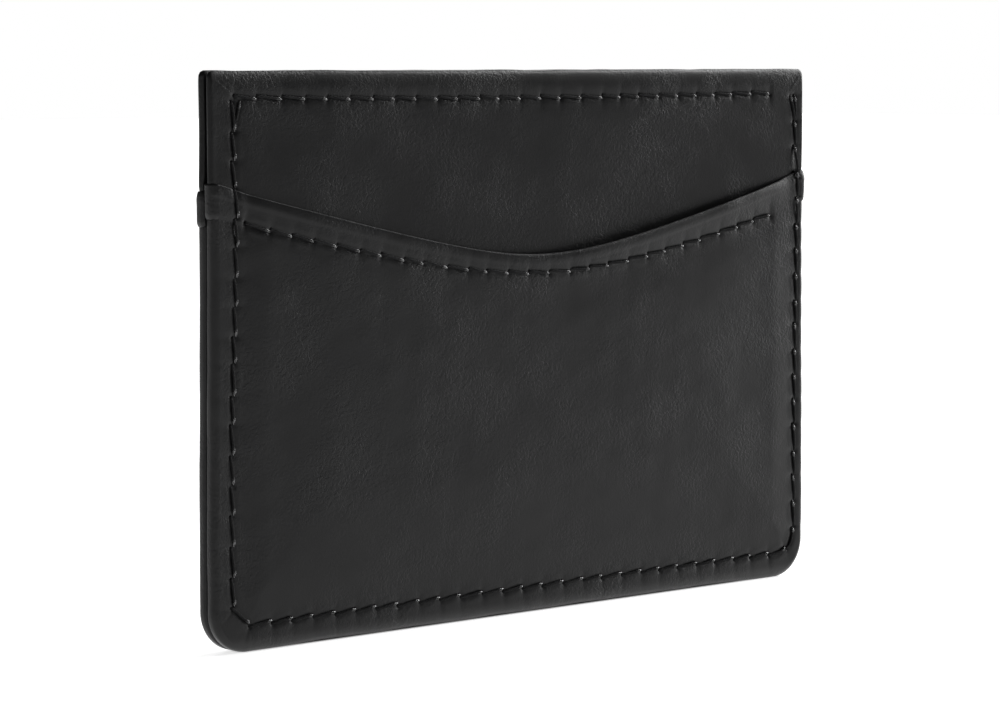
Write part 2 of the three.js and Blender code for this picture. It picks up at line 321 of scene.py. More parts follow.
def mouth_seam(mouth, seed):
    reach_x = HALF_WIDTH - max(LEFT_SEAM) - 0.4
    x = np.arange(-reach_x, reach_x, 0.4)
    return Seam(np.stack([x, mouth.seam(x)], axis=1), seed=seed, first=0.9, slant=-0.18)


def waves(x, y, seed, least, most, count=10):
    """Smooth uneven height between about -1 and 1, of wavelengths from least to most."""
    rng = np.random.default_rng(seed)
    total = np.zeros_like(x)
    for _ in range(count):
        turn = rng.uniform(0, 2 * np.pi)
        wave = 2 * np.pi / rng.uniform(least, most)
        phase = rng.uniform(0, 2 * np.pi)
        total += np.sin(wave * (np.cos(turn) * x + np.sin(turn) * y) + phase)
    return total / math.sqrt(count)


# ---- the surface of the leather, out from the middle plane ----
def bow(x, y):
    """How far the body's face stands off its board, most at the middle of its top."""
    up = np.clip((y - HEIGHT / 2) / (HEIGHT / 2), 0, 1)
    return BOW * (1 - (x / HALF_WIDTH) ** 2) * up**2


def top_drop(y):
    """How far the body's face curves down to its rolled top edge."""
    return TOP_DROP * np.exp(-np.maximum(HEIGHT - BODY_ROUND - y, 0) / TOP_FALL)


def body_level(x, y, seed):
    """The body's face without its seams or the curve at its top."""
    hump = 0.04 * np.exp(-((HEIGHT - y - 2.1) / 0.8) ** 2)
    off_mitre = (np.abs(x) - HALF_WIDTH + HEIGHT - y + 0.25 * waves(x, y, 7, 2, 5)) / 2**0.5
    near_corner = np.exp(-((HEIGHT - y) / 2.6) ** 4)
    ridge, crease = np.exp(-((off_mitre - 0.25) / 0.2) ** 2), np.exp(-(off_mitre / 0.14) ** 2)
    mitre = 0.05 * near_corner * (ridge - crease)
    return BODY_OUT + bow(x, y) + hump + mitre + 0.035 * waves(x, y, seed, 9, 34)


def pocket_level(x, y, mouth, perimeter, seed):
    """The pocket's face without its seams or the roll at its mouth."""
    _, inward = perimeter.locate(x, y)
    below = np.maximum(mouth.below(x, y), 0)
    swell = smooth((inward - 0.2) / 5)
    dome = (1 - (x / HALF_WIDTH) ** 2) * smooth(inward / 16)
    gape = 0.4 * (1 - smooth(below / 4.2)) - 0.2 * np.exp(-((below - 4.4) / 3) ** 2)
    gape = (gape + 0.2 * np.exp(-below / 14)) * smooth((x + 8) / 26) * smooth(inward / 9)
    rise = swell * 0.28 + 0.8 * dome + gape
    hem = mouth.hem(x, y) * (HEM * (1 - smooth(inward / 2)) * 0.6 + 0.04)
    uneven = 0.04 * swell * waves(x, y, seed, 12, 40) + 0.01 * waves(x, y, seed + 1, 3, 7)
    return SEWN_OUT + rise + hem + uneven


def spread(x, amount):
    """Moves the points near the sides outwards."""
    return x + np.sign(x) * amount * smooth((np.abs(x) - 44) / 6)


def flare(y, mouth):
    """The body is a little wider above the pocket, where nothing presses its edges."""
    return 0.2 * smooth((y - mouth.end + 1) / 1.2)


def arched(x, y):
    """Lifts the bottom edge a little off the floor between the corners."""
    return y + ARCH * smooth((44 - np.abs(x)) / 10) * np.exp(-((y / 1.8) ** 2))


def pinch(x, y, mouth):
    """The pocket narrows a little from the bottom up to its hem."""
    return (0.08 - 0.3 * smooth((y - 10) / 40)) * (1 - mouth.hem(x, y))


# ---- meshes ----
def graded(start, *stretches):
    """Places along a line from start, each stretch given by its end and its step."""
    places = [np.array([start])]
    for end, step in stretches:
        count = max(1, round(abs(end - start) / step))
        places.append(np.linspace(start, end, count + 1)[1:])
        start = end
    return np.concatenate(places)


def round_corner(x, y, corner_x, corner_y, across, up):
    """Pulls the points of a square corner in to a quarter ellipse. across and up have signs."""
    p = (x - (corner_x - across)) / across
    q = (y - (corner_y - up)) / up
    inside = (p > 0) & (q > 0)
    p, q = np.where(inside, p, 0), np.where(inside, q, 0)
    round_x = corner_x - across + across * p * np.sqrt(1 - q * q / 2)
    round_y = corner_y - up + up * q * np.sqrt(1 - p * p / 2)
    return np.where(inside, round_x, x), np.where(inside, round_y, y)


def quads(index, closed=False):
    """The quads of a grid of vertex numbers, closed from its last row to its first or not."""
    if closed:
        index = np.concatenate([index, index[:1]])
    corners = [index[:-1, :-1], index[1:, :-1], index[1:, 1:], index[:-1, 1:]]
    return np.stack(corners, axis=-1).reshape(-1, 4).tolist()


def coarse_cells(index, row_cuts, step):
    """Larger cells over a grid, which still meet every vertex on its border."""
    rows, cols = index.shape
    col_cuts = sorted({*range(0, cols - 1, step), cols - 1})
    cells = []
    for top, low in zip(row_cuts, row_cuts[1:]):
        for left, right in zip(col_cuts, col_cuts[1:]):
            down = index[top:low, left] if left == 0 else index[top:top + 1, left]
            along = index[low, left:right] if low == rows - 1 else index[low, left:left + 1]
            up = index[low:top:-1, right] if right == cols - 1 else index[low:low + 1, right]
            back = index[top, right:left:-1] if top == 0 else index[top, right:right + 1]
            cells.append([int(i) for i in (*down, *along, *up, *back)])
    return cells


def resampled(line, count):
    line = np.array(line, float)
    along = np.concatenate([[0], np.cumsum(np.hypot(*np.diff(line, axis=0).T))])
    at = np.linspace(0, along[-1], count)
    return np.stack([np.interp(at, along, line[:, i]) for i in (0, 1)], axis=1)


def arc(centre_out, centre_level, radius, start, end, steps):
    """Points of an edge's section, (outwards, level): an arc by angles from straight out of the face."""
    turn = np.radians(np.linspace(start, end, steps + 1))
    return [(centre_out + radius * math.sin(t), centre_level + radius * math.cos(t)) for t in turn]


def outward(line, closed):
    """The right-hand normals of a row of points."""
    if closed:
        tangent = np.roll(line, -1, axis=0) - np.roll(line, 1, axis=0)
    else:
        tangent = np.gradient(line, axis=0)
    tangent /= np.hypot(*tangent.T)[:, None]
    return np.stack([tangent[:, 1], -tangent[:, 0]], axis=1)


def open_ring(rows, cols):
    """The border of a grid as (row, column): down its left, along its foot and up its right."""
    ring = [(r, 0) for r in range(rows - 1)] + [(rows - 1, c) for c in range(cols)]
    return ring + [(r, cols - 1) for r in range(rows - 2, -1, -1)]


def new_piece(name, points, faces, facing, wear=None):
    """A mesh object from a half's points, shaded smooth, without unused vertices."""
    used = np.unique(np.concatenate([np.asarray(f) for f in faces]))
    place = np.full(len(points), -1)
    place[used] = np.arange(len(used))
    mesh = bpy.data.meshes.new(name)
    loops = [place[f].tolist() for f in faces]
    mesh.from_pydata(to_frame(points[used], facing).tolist(), [], loops)
    mesh.validate()
    shape = bmesh.new()
    shape.from_mesh(mesh)
    bmesh.ops.recalc_face_normals(shape, faces=shape.faces)
    shape.to_mesh(mesh)
    shape.free()
    if wear is not None:
        attribute = mesh.attributes.new("wear", "FLOAT", "POINT")
        attribute.data.foreach_set("value", wear[used].astype(np.float32))
    mesh.shade_smooth()
    piece = bpy.data.objects.new(name, mesh)
    bpy.context.scene.collection.objects.link(piece)
    return piece


def thick_sheet(name, facing, face, under, wear, ring, edge, edge_under, edge_wear, cuts, step):
    """One closed body of leather: its face and underside as grids of points, and the turned edge
    swept round their border. ring lists the border as (row, column); edge and edge_under hold a
    row of points for each. Where the grids' first rows are the same line, the sheet ends there."""
    rows, cols = face.shape[:2]
    count = rows * cols
    length, width = edge.shape[:2]
    face_at = np.arange(count).reshape(rows, cols)
    under_at = face_at + count
    edge_at = 2 * count + np.arange(length * width).reshape(length, width)
    edge_under_at = edge_at + length * width
    closed = length == 2 * (rows + cols) - 4
    if not closed:
        under_at[0] = face_at[0]
        edge_under_at[[0, -1]] = edge_at[[0, -1]]
    border_row, border_col = np.array(ring).T
    outer = np.column_stack([face_at[border_row, border_col], edge_at])
    inner = np.column_stack([under_at[border_row, border_col], edge_under_at])
    faces = quads(face_at) + quads(outer, closed) + quads(inner, closed)
    faces += quads(np.column_stack([outer[:, -1], inner[:, -1]]), closed)
    faces += coarse_cells(under_at, cuts, step)
    faces = [list(dict.fromkeys(f)) for f in faces]
    faces = [f for f in faces if len(f) > 2]
    grids = (face, under, edge, edge_under)
    points = np.concatenate([g.reshape(-1, 3) for g in grids])
    none = np.zeros(count), np.zeros(length * width)
    worn = np.concatenate([wear.ravel(), none[0], edge_wear.ravel(), none[1]])
    return new_piece(name, points, faces, facing, worn)


def rubbed_edge(distance):
    """How much the leather is rubbed at a distance from an edge."""
    return np.exp(-((distance / 0.7) ** 2))


def side_share(normal):
    """How much an edge is rubbed: fully along the top and bottom, less down the sides."""
    return 0.2 + 0.8 * normal[:, 1:] ** 2


def body_grid(mouth):
    """Places on the body's face, from its top down, closer together near its edges."""
    across = graded(-BODY_SIDE, (-SIDE_BAND, FINE), (SIDE_BAND, 0.3), (BODY_SIDE, FINE))
    up = graded(BODY_HEAD, (HEIGHT - 6, FINE), (mouth.lowest - 1, 0.28), (BODY_FOOT, 1.4))
    x, y = np.meshgrid(across, up)
    for sign in (-1, 1):
        radii = sign * (CORNER_ACROSS - BODY_ROUND), BODY_ROUND - CORNER_UP
        x, y = round_corner(x, y, sign * BODY_SIDE, BODY_FOOT, *radii)
        x, y = round_corner(x, y, sign * BODY_SIDE, BODY_HEAD, sign * TOP_CORNER, TOP_CORNER)
    return spread(x, flare(y, mouth)), arched(x, y)


def body_face(x, y, seams, mouth, seed):
    """The level of the body's face, with its seams where the pocket doesn't cover them."""
    near_edge = np.minimum(np.minimum(BODY_SIDE - np.abs(x), BODY_HEAD - y), y - BODY_FOOT)
    rim = BODY_OUT + bow(x, y)
    level = rim + (body_level(x, y, seed) - rim) * smooth(near_edge / 1.2) - top_drop(y)
    open_face = smooth((y - mouth.height(x) + 3) / 2)
    for seam in seams:
        level += seam.relief(x, y, 1.0) * open_face
    return level


def body_edge(border, normal, mouth, seed):
    """The rolled and turned in edge round the body's border, and the underside of it."""
    middle = (BODY_OUT + BODY_IN) / 2
    roll = arc(0, middle, BODY_ROUND, 0, 180, ROLL_STEPS)[1:]
    under_middle, under_round = (FACE_IN + TURN_OUT) / 2, (FACE_IN - TURN_OUT) / 2
    under_roll = arc(0, under_middle, under_round, 0, 180, ROLL_STEPS)[1:]
    centre = np.array([0, (BODY_FOOT + BODY_HEAD) / 2])
    shrink = np.array([1 - BODY_TURN_WIDTH / HALF_WIDTH, 1 - 2 * BODY_TURN_WIDTH / HEIGHT])
    turned_to = centre + (border[:, :2] - centre) * shrink
    edge = swept(border[:, :2], normal, roll, turned_to, BODY_IN, 4)
    edge_under = swept(border[:, :2], normal, under_roll, turned_to, TURN_OUT, 4)

    wave = 0.04 * waves(border[:, 0], border[:, 1], seed + 5, 5, 17)
    fullness = np.sin(np.linspace(0, np.pi, ROLL_STEPS + 2)[1:-1, None])
    edge[:, :ROLL_STEPS, :2] += (normal * wave[:, None])[:, None] * fullness
    turn = np.radians(np.linspace(0, 180, ROLL_STEPS + 1)[1:])
    drop = top_drop(border[:, 1])[:, None]
    lean = drop / TOP_FALL * BODY_ROUND * np.maximum(normal[:, 1:], 0)
    outer = np.clip((edge[..., 2] - middle) / BODY_ROUND, 0, 1)
    inner = np.clip((middle - edge[..., 2]) / BODY_ROUND, 0, 1) ** 2
    lift = (bow(border[:, 0], border[:, 1]) - top_drop(border[:, 1]))[:, None] * outer
    edge[..., 2] += lift
    edge[:, :ROLL_STEPS, 2] -= lean * np.sin(turn) * (1 + np.cos(turn)) / 2
    inner[:, ROLL_STEPS:] *= np.array([0.6, 0.2, 0, 0])
    edge[..., 2] -= 0.15 * inner * smooth((border[:, 1] - mouth.end) / 2)[:, None]
    return edge, edge_under


def body_leather(name, facing, seams, mouth, seed):
    """A body half: its face over the board, its edges rolled over and turned in."""
    x, y = body_grid(mouth)
    face = np.stack([x, y, body_face(x, y, seams, mouth, seed)], axis=-1)
    under = np.stack([x, y, np.full_like(x, FACE_IN)], axis=-1)
    rows, cols = x.shape
    ring = open_ring(rows, cols) + [(0, c) for c in range(cols - 2, 0, -1)]
    border = np.array([face[r, c] for r, c in ring])
    normal = outward(border[:, :2], closed=True)
    edge, edge_under = body_edge(border, normal, mouth, seed)

    wear = rubbed_edge(np.minimum(BODY_HEAD - y, y - BODY_FOOT))
    wear = wear + 0.2 * rubbed_edge(BODY_SIDE - np.abs(x))
    along = np.concatenate([np.ones(10), np.linspace(0.8, 0, edge.shape[1] - 10)])
    edge_wear = side_share(normal) * along
    cuts = sorted({*range(0, rows - 1, 14), rows - 1})
    return thick_sheet(name, facing, face, under, wear, ring, edge, edge_under, edge_wear, cuts, 14)


def swept(border, normal, roll, turned_to, level, steps):
    """The section roll, (outwards, level), swept round a border, and a flat run on from it."""
    out, height = np.array(roll).T
    rolled = border[:, None] + normal[:, None] * out[None, :, None]
    rolled = np.concatenate([rolled, np.tile(height[None, :, None], (len(border), 1, 1))], axis=2)
    t = np.linspace(0, 1, steps + 1)[1:, None]
    run = rolled[:, -1:, :2] * (1 - t) + turned_to[:, None] * t
    run = np.concatenate([run, np.full(run.shape[:2] + (1,), level)], axis=2)
    return np.concatenate([rolled, run], axis=1)


def fold_width(x):
    """The mouth folds over in a wider roll to the right of its middle, where it gapes."""
    return NARROW_ROLL + (ROLL - NARROW_ROLL) * smooth((x + 12) / 34)


def roll_share(below, length):
    """The share of its thickness that the leather has near the mouth, where it folds over."""
    t = np.clip(below / length, 0, 1)
    return np.sqrt(1 - (1 - t) ** 2)


def pocket_grid(mouth):
    """Places on the pocket's face, from its mouth down, closer together near its edges."""
    across = graded(-POCKET_SIDE, (-SIDE_BAND, FINE), (SIDE_BAND, 0.31), (POCKET_SIDE, FINE))
    fold = ROLL * (1 - np.cos(np.linspace(0, np.pi / 2, FOLD_ROWS)))
    hem_end = mouth.lowest - HEM_BAND
    tops = np.concatenate([mouth.lowest - fold, graded(mouth.lowest - ROLL, (hem_end, 0.17))[1:]])
    middles = graded(hem_end, (FOOT_BAND, 0.29))[1:]
    feet = graded(FOOT_BAND, (POCKET_FOOT, 0.2))[1:]
    base = np.concatenate([tops, middles, feet])
    follow = np.clip((base - FOOT_BAND) / (mouth.lowest - HEM_BAND - FOOT_BAND), 0, 1)
    x, height = np.meshgrid(across, base)
    y = height + follow[:, None] * (mouth.height(x) - mouth.lowest)
    for sign in (-1, 1):
        radii = sign * (CORNER_ACROSS + WRAP - POCKET_ROUND), POCKET_ROUND - CORNER_UP - WRAP
        x, y = round_corner(x, y, sign * POCKET_SIDE, POCKET_FOOT, *radii)
    return spread(x, pinch(x, y, mouth)), arched(x, y)


def pocket_face(x, y, below, mouth, perimeter, along_mouth, seed):
    """The level of the pocket's face, with its seams and the line of its folded mouth."""
    level = pocket_level(x, y, mouth, perimeter, seed)
    level += perimeter.relief(x, y, 1.1, pucker_left=1.0, pucker_right=1.9)
    level += along_mouth.relief(x, y, 1.15, pucker_left=1.3, pucker_right=0.8)
    level += 0.08 * np.exp(-((below - 1.1) / 0.6) ** 2) - 0.03 * np.exp(-((below - 1.6) / 0.2) ** 2)
    return level


def pocket_rolls():
    """The sections of the pocket's wrapped edge and of its underside, as (outwards, level)."""
    roll = arc(0, SEWN_OUT - POCKET_ROUND, POCKET_ROUND, 0, 90, 7)[1:]
    roll += arc(POCKET_ROUND - SLOT_ROUND, SLOT_GAP + SLOT_ROUND, SLOT_ROUND, 90, 180, 5)
    wall = POCKET_ROUND - WRAP + 0.03
    under_roll = [(0, POCKET_IN), (wall - 0.2, POCKET_IN), (wall, POCKET_IN - 0.2)]
    under_roll += [(wall, SLOT_GAP + POCKET_TURN + 0.2), (wall - 0.2, SLOT_GAP + POCKET_TURN)]
    return roll, resampled(under_roll, len(roll) + 1)[1:]


def pocket_edge(border, normal, level, bottom, mouth, seed):
    """The edge wrapped round the body from the pocket's border, and the underside of it."""
    roll, under_roll = pocket_rolls()
    anchor = np.array([0, MOUTH_END])
    shrink = np.array([1 - POCKET_TURN_WIDTH / HALF_WIDTH, 1 - POCKET_TURN_WIDTH / MOUTH_END])
    turned_to = anchor + (border - anchor) * shrink
    turned_to[:, 1] = np.minimum(turned_to[:, 1], border[:, 1].max())
    edge = swept(border, normal, roll, turned_to, SLOT_GAP, POCKET_RUN_STEPS)
    under_level = SLOT_GAP + POCKET_TURN
    edge_under = swept(border, normal, under_roll, turned_to, under_level, POCKET_RUN_STEPS)

    share = np.clip((edge[..., 2] - SLOT_GAP) / (SEWN_OUT - SLOT_GAP), 0, 1)
    edge[..., 2] += (level - SEWN_OUT)[:, None] * share**2
    under_share = np.clip(edge_under[..., 2] / POCKET_IN, 0, 1)
    edge_under[..., 2] += (bottom - POCKET_IN)[:, None] * under_share**3
    hem = mouth.hem(*border.T)
    bulge = np.sin(np.linspace(0, np.pi, len(roll) + 2)[1:-1]) ** 0.5
    wave = 0.03 * waves(border[:, 0], border[:, 1], seed + 5, 5, 15)
    push = (hem * TAB_MORE * TAB_SHARE + wave)[:, None] * bulge[None]
    edge[:, :len(roll), :2] += normal[:, None] * push[..., None]
    edge[..., 1] = np.maximum(edge[..., 1], POCKET_LOW)
    return edge, edge_under


def pocket_leather(name, facing, mouth, perimeter, along_mouth, seed):
    """A pocket: its swollen face, its hem folded in at the mouth, and its edges, which wrap round
    the body and end between the halves."""
    x, y = pocket_grid(mouth)
    below = mouth.below(x, y)
    below[0] = 0
    level = pocket_face(x, y, below, mouth, perimeter, along_mouth, seed)
    width = fold_width(x)
    bottom = level - (FACE + HEM * mouth.hem(x, y) + 0.12 * width * np.exp(-below / 0.8))
    middle = (level + bottom) / 2
    face = np.stack([x, y, middle + (level - middle) * roll_share(below, width)], axis=-1)
    under = np.stack([x, y, middle + (bottom - middle) * roll_share(below, width / 2)], axis=-1)

    rows, cols = x.shape
    ring = open_ring(rows, cols)
    at = tuple(np.array(ring).T)
    border = np.stack([x[at], y[at]], axis=1)
    normal = outward(border, closed=False)
    edge, edge_under = pocket_edge(border, normal, level[at], bottom[at], mouth, seed)
    centre = (edge + edge_under) / 2
    edge = centre + (edge - centre) * roll_share(below[at], width[at])[:, None, None]
    edge_under = centre + (edge_under - centre) * roll_share(below[at], width[at] / 2)[:, None, None]

    wear = rubbed_edge(below) * (0.9 * smooth((x + 12) / 34) - 0.6) + rubbed_edge(y - POCKET_FOOT)
    run_at = edge.shape[1] - POCKET_RUN_STEPS
    edge_wear = side_share(normal) * np.concatenate([np.ones(run_at), np.zeros(POCKET_RUN_STEPS)])
    cuts = sorted({*range(FOLD_ROWS), *range(FOLD_ROWS, rows - 1, 4), rows - 1})
    return thick_sheet(name, facing, face, under, wear, ring, edge, edge_under, edge_wear, cuts, 4)


# ---- threads ----
def stitch_lines(seam, level, out=1):
    """The centre line of each stitch, from its needle hole over the leather to the next one. Near
    its far end it humps over the rim of the hole."""
    steps = 18
    t = np.linspace(0, 1, steps + 1)
    arch = np.sin(np.pi * t) ** 0.5
    hump = 0.11 * np.exp(-((t - 0.84) / 0.07) ** 2)
    lines = []
    places = [
        seam.at(start + (end - start) * t, seam.slant * (2 * t - 1))
        for start, end in zip(seam.holes, seam.holes[1:])
    ]
    places += [start + (end - start) * t[:, None] for start, end in seam.tacks]
    swells = np.clip(1.1 + 2 * (np.append(seam.strength, [1, 1]) - 1), 0.3, 1.7)
    for place, swelling in zip(places, swells):
        base = level(place[:, 0], place[:, 1])
        straight = base[0] + (base[-1] - base[0]) * t
        base = np.maximum(out * base, out * straight) * out
        height = base + out * (swelling * hump - THREAD_DIP * (1 - arch))
        lines.append(np.column_stack([place, height]))
    return lines


def twisted(lines, name, facing, plies=3, sides=6):
    """Plied thread along each line, as one piece."""
    ply_turn = 2 * np.pi * np.arange(plies) / plies
    around = 2 * np.pi * np.arange(sides) / sides
    ply_radius = THREAD * 0.62
    points, faces, polished, start = [], [], [], 0
    for line in lines:
        tangent = np.gradient(line, axis=0)
        tangent /= np.linalg.norm(tangent, axis=1)[:, None]
        side = np.cross(tangent, [0.0, 0.0, 1.0])
        side /= np.linalg.norm(side, axis=1)[:, None]
        over = np.cross(side, tangent)
        t = np.linspace(0, 1, len(line))
        lay = 2 * np.pi * 2.6 * t
        for turn in ply_turn:
            angle = (lay + turn)[:, None]
            middle = line + THREAD * 0.36 * (np.cos(angle) * side + np.sin(angle) * over)
            spin = around[None] + angle
            loop = np.cos(spin)[..., None] * side[:, None] + np.sin(spin)[..., None] * over[:, None]
            thickness = ply_radius * (1 + 0.25 * np.exp(-((t - 0.84) / 0.08) ** 2))
            points.append((middle[:, None] + thickness[:, None, None] * loop).reshape(-1, 3))
            polished.append(np.repeat(np.maximum(2 * t - 1, 0), sides))
            index = start + np.arange(len(line) * sides).reshape(len(line), sides)
            wrapped = np.column_stack([index, index[:, 0]])
            faces += quads(wrapped)
            faces += [index[0].tolist(), index[-1].tolist()]
            start += len(line) * sides
    return new_piece(name, np.concatenate(points), faces, facing, np.concatenate(polished))


# ---- materials ----
FLOOR_GLOW = 0.74  # the floor is lit from below as well, like a light table


COLOUR_A, COLOUR_B, COLOUR_OUT = 6, 7, 2  # the colour sockets of a mix node


class Nodes:
    """A material's node tree, with short calls for the nodes that repeat."""

    def __init__(self, name):
        self.material = bpy.data.materials.new(name)
        self.material.use_nodes = True
        self.tree = self.material.node_tree
        self.shader = self.tree.nodes["Principled BSDF"]
        self.place = self.tree.nodes.new("ShaderNodeTexCoord").outputs["Object"]

    def add(self, kind, links=None, **settings):
        node = self.tree.nodes.new(kind)
        for key, value in settings.items():
            if key in node.inputs:
                node.inputs[key].default_value = value
            else:
                setattr(node, key, value)
        for key, source in (links or {}).items():
            self.tree.links.new(source, node.inputs[key])
        return node

    def noise(self, size, detail=2.0, roughness=0.5, place=None):
        settings = {"Scale": 1 / (size * MM), "Detail": detail, "Roughness": roughness}
        return self.add("ShaderNodeTexNoise", {"Vector": place or self.place}, **settings).outputs["Fac"]

    def cells(self, size, feature="F1", place=None, output="Distance", **settings):
        node = self.add(
            "ShaderNodeTexVoronoi",
            {"Vector": place or self.place},
            feature=feature,
            Scale=1 / (size * MM),
            **settings,
        )
        return node.outputs[output]

    def math(self, operation, a, b=0.0):
        node = self.tree.nodes.new("ShaderNodeMath")
        node.operation = operation
        for socket, value in zip(node.inputs, (a, b)):
            if isinstance(value, (int, float)):
                socket.default_value = value
            else:
                self.tree.links.new(value, socket)
        return node.outputs[0]

    def ranged(self, value, low, high, to_low, to_high):
        node = self.add("ShaderNodeMapRange", {"Value": value})
        sockets = ("From Min", "From Max", "To Min", "To Max")
        for key, number in zip(sockets, (low, high, to_low, to_high)):
            node.inputs[key].default_value = number
        return node.outputs["Result"]

    def ramp(self, value, *stops):
        node = self.add("ShaderNodeValToRGB", {"Fac": value})
        band = node.color_ramp.elements
        while len(band) < len(stops):
            band.new(0.5)
        for element, (position, colour) in zip(band, stops):
            element.position = position
            element.color = (*colour, 1)
        return node.outputs["Color"]

    def blended(self, share, colour, other):
        """A colour with a share of another, fixed one over it."""
        node = self.add("ShaderNodeMix", {"Factor": share, COLOUR_A: colour}, data_type="RGBA")
        node.inputs[COLOUR_B].default_value = (*other, 1)
        return node.outputs[COLOUR_OUT]

    def warped(self, size, amount):
        """The place moved about by noise of a size, for less regular patterns."""
        scale = 1 / (size * MM)
        noise = self.add("ShaderNodeTexNoise", {"Vector": self.place}, Scale=scale, Detail=1.0)
        node = self.add("ShaderNodeVectorMath", {0: noise.outputs["Color"]}, operation="SUBTRACT")
        node.inputs[1].default_value = (0.5, 0.5, 0.5)
        shift = self.add("ShaderNodeVectorMath", {0: node.outputs[0]}, operation="SCALE")
        shift.inputs["Scale"].default_value = amount * MM
        moved = self.add("ShaderNodeVectorMath", {0: self.place, 1: shift.outputs[0]}, operation="ADD")
        return moved.outputs[0]

    def outside(self, half_x, half_y):
        """How far a place is outside a rectangle round the origin, in metres."""
        parts = self.add("ShaderNodeSeparateXYZ", {"Vector": self.place}).outputs
        squares = []
        for part, half in ((parts["X"], half_x * MM), (parts["Y"], half_y * MM)):
            past = self.math("MAXIMUM", self.math("SUBTRACT", self.math("ABSOLUTE", part), half), 0.0)
            squares.append(self.math("MULTIPLY", past, past))
        return self.math("SQRT", self.math("ADD", *squares))

    def bump(self, height, depth, strength=1.0, under=None):
        links = {"Height": height}
        if under is not None:
            links["Normal"] = under
        node = self.add("ShaderNodeBump", links, Strength=strength, Distance=depth * MM)
        return node.outputs["Normal"]

    def finish(self, colour=None, roughness=None, normal=None, **fixed):
        for socket, source in (("Base Color", colour), ("Roughness", roughness), ("Normal", normal)):
            if source is not None:
                self.tree.links.new(source, self.shader.inputs[socket])
        for key, value in fixed.items():
            self.shader.inputs[key].default_value = value
        return self.material


def leather(name, dark, light, gloss, grain, shine):
    """Black smooth-grain leather: fine pebbles and short wrinkles, uneven dye and polish, burnished edges
    that show paler, and shade painted into the creases of the wrinkles."""
    n = Nodes(name)
    place = n.warped(0.9, 0.35)
    pebbles = n.cells(0.42, "SMOOTH_F1", place, Smoothness=0.6)
    wrinkles = n.math("ABSOLUTE", n.math("SUBTRACT", n.noise(0.75, 3.0, 0.55, n.warped(2.2, 0.8)), 0.5))
    wrinkles = n.ranged(wrinkles, 0.0, 0.09, 0.0, 1.0)
    pores = n.ranged(n.cells(0.8, "F1", place), 0.05, 0.16, 0.0, 1.0)
    fine = n.noise(0.13, 3.0, 0.6)
    wear = n.add("ShaderNodeAttribute", attribute_name="wear").outputs["Fac"]
    patches = n.noise(9.0, 3.0, 0.55)
    rubbed = n.math("MULTIPLY", wear, n.ranged(n.noise(1.6, 4.0, 0.6), 0.35, 0.65, 0.25, 1.0))

    depth = n.ranged(patches, 0.38, 0.62, 0.15, 1.0)
    normal = n.bump(n.math("MULTIPLY", pebbles, depth), 0.045 * grain, 0.5)
    normal = n.bump(n.math("MULTIPLY", wrinkles, depth), 0.04 * grain, 0.5, normal)
    normal = n.bump(pores, 0.012, 0.5, normal)
    normal = n.bump(fine, 0.012 * grain, 0.5, normal)
    colour = n.ramp(patches, (0.3, dark), (0.72, light))
    # The colour is painted darker along the wrinkles' creases: painted shade.
    crease_shade_share = n.ranged(wrinkles, 0, 1, 0.25, 0.0)
    with_painted_crease_shade = n.blended(crease_shade_share, colour, (0.004, 0.004, 0.0045))
    shown = n.blended(n.math("MULTIPLY", rubbed, 0.18), with_painted_crease_shade, (0.04, 0.039, 0.038))
    uneven = n.math("ADD", n.math("MULTIPLY", patches, 0.6), n.math("MULTIPLY", fine, 0.4))
    rough = n.ranged(uneven, 0.3, 0.7, gloss - 0.05, gloss + 0.06)
    rough = n.math("SUBTRACT", rough, n.math("MULTIPLY", rubbed, 0.04))
    n.tree.links.new(n.ranged(wear, -1, 1, 0.1 * shine, 1.9 * shine), n.shader.inputs["Specular IOR Level"])
    return n.finish(shown, rough, normal)


def thread_material():
    """Bonded black polyester: tight, slightly waxed, with fine fibres along each ply."""
    n = Nodes("black_thread")
    fibres = n.noise(0.05, 3.0, 0.6)
    patches = n.noise(0.7, 2.0)
    colour = n.ramp(patches, (0.3, (0.01, 0.01, 0.0105)), (0.7, (0.018, 0.018, 0.0185)))
    wear = n.add("ShaderNodeAttribute", attribute_name="wear").outputs["Fac"]
    rough = n.math("ADD", n.ranged(wear, 0.45, 0.66, 0.7, 0.1), n.math("MULTIPLY", fibres, 0.06))
    n.tree.links.new(n.ranged(wear, 0.45, 0.66, 0.16, 1.0), n.shader.inputs["Specular IOR Level"])
    return n.finish(colour, rough, n.bump(fibres, 0.015, 0.4))


def cloth_material():
    """Thin black lining twill."""
    n = Nodes("lining_cloth")
    waves_at = {"Scale": 1 / (0.35 * MM) / 20, "Distortion": 0.3, "Detail": 1.0}
    bands = []
    for slant in ("DIAGONAL", "Z"):
        kinds = {"wave_type": "BANDS", "bands_direction": slant}
        bands.append(n.add("ShaderNodeTexWave", {"Vector": n.place}, **kinds, **waves_at))
    weave = n.math("MULTIPLY", *(band.outputs["Fac"] for band in bands))
    slub = n.noise(1.2, 3.0)
    dark, light = (0.008, 0.008, 0.009), (0.026, 0.026, 0.028)
    colour = n.ramp(n.math("MULTIPLY", weave, slub), (0.0, dark), (0.6, light))
    rough = n.ranged(slub, 0.3, 0.7, 0.72, 0.88)
    return n.finish(colour, rough, n.bump(weave, 0.05, 0.7), **{"Sheen Weight": 0.3})


def board_material():
    """Grey fibre board with flecks."""
    n = Nodes("stiffener_board")
    fibre = n.noise(0.5, 5.0, 0.65, n.warped(1.5, 0.6))
    flecks = n.ranged(n.cells(0.6), 0.0, 0.25, 0.0, 1.0)
    dark, light = (0.09, 0.08, 0.07), (0.2, 0.18, 0.155)
    colour = n.ramp(n.math("MULTIPLY", fibre, flecks), (0.1, dark), (0.6, light))
    return n.finish(colour, n.ranged(fibre, 0.3, 0.7, 0.82, 0.95), n.bump(fibre, 0.03, 0.6))


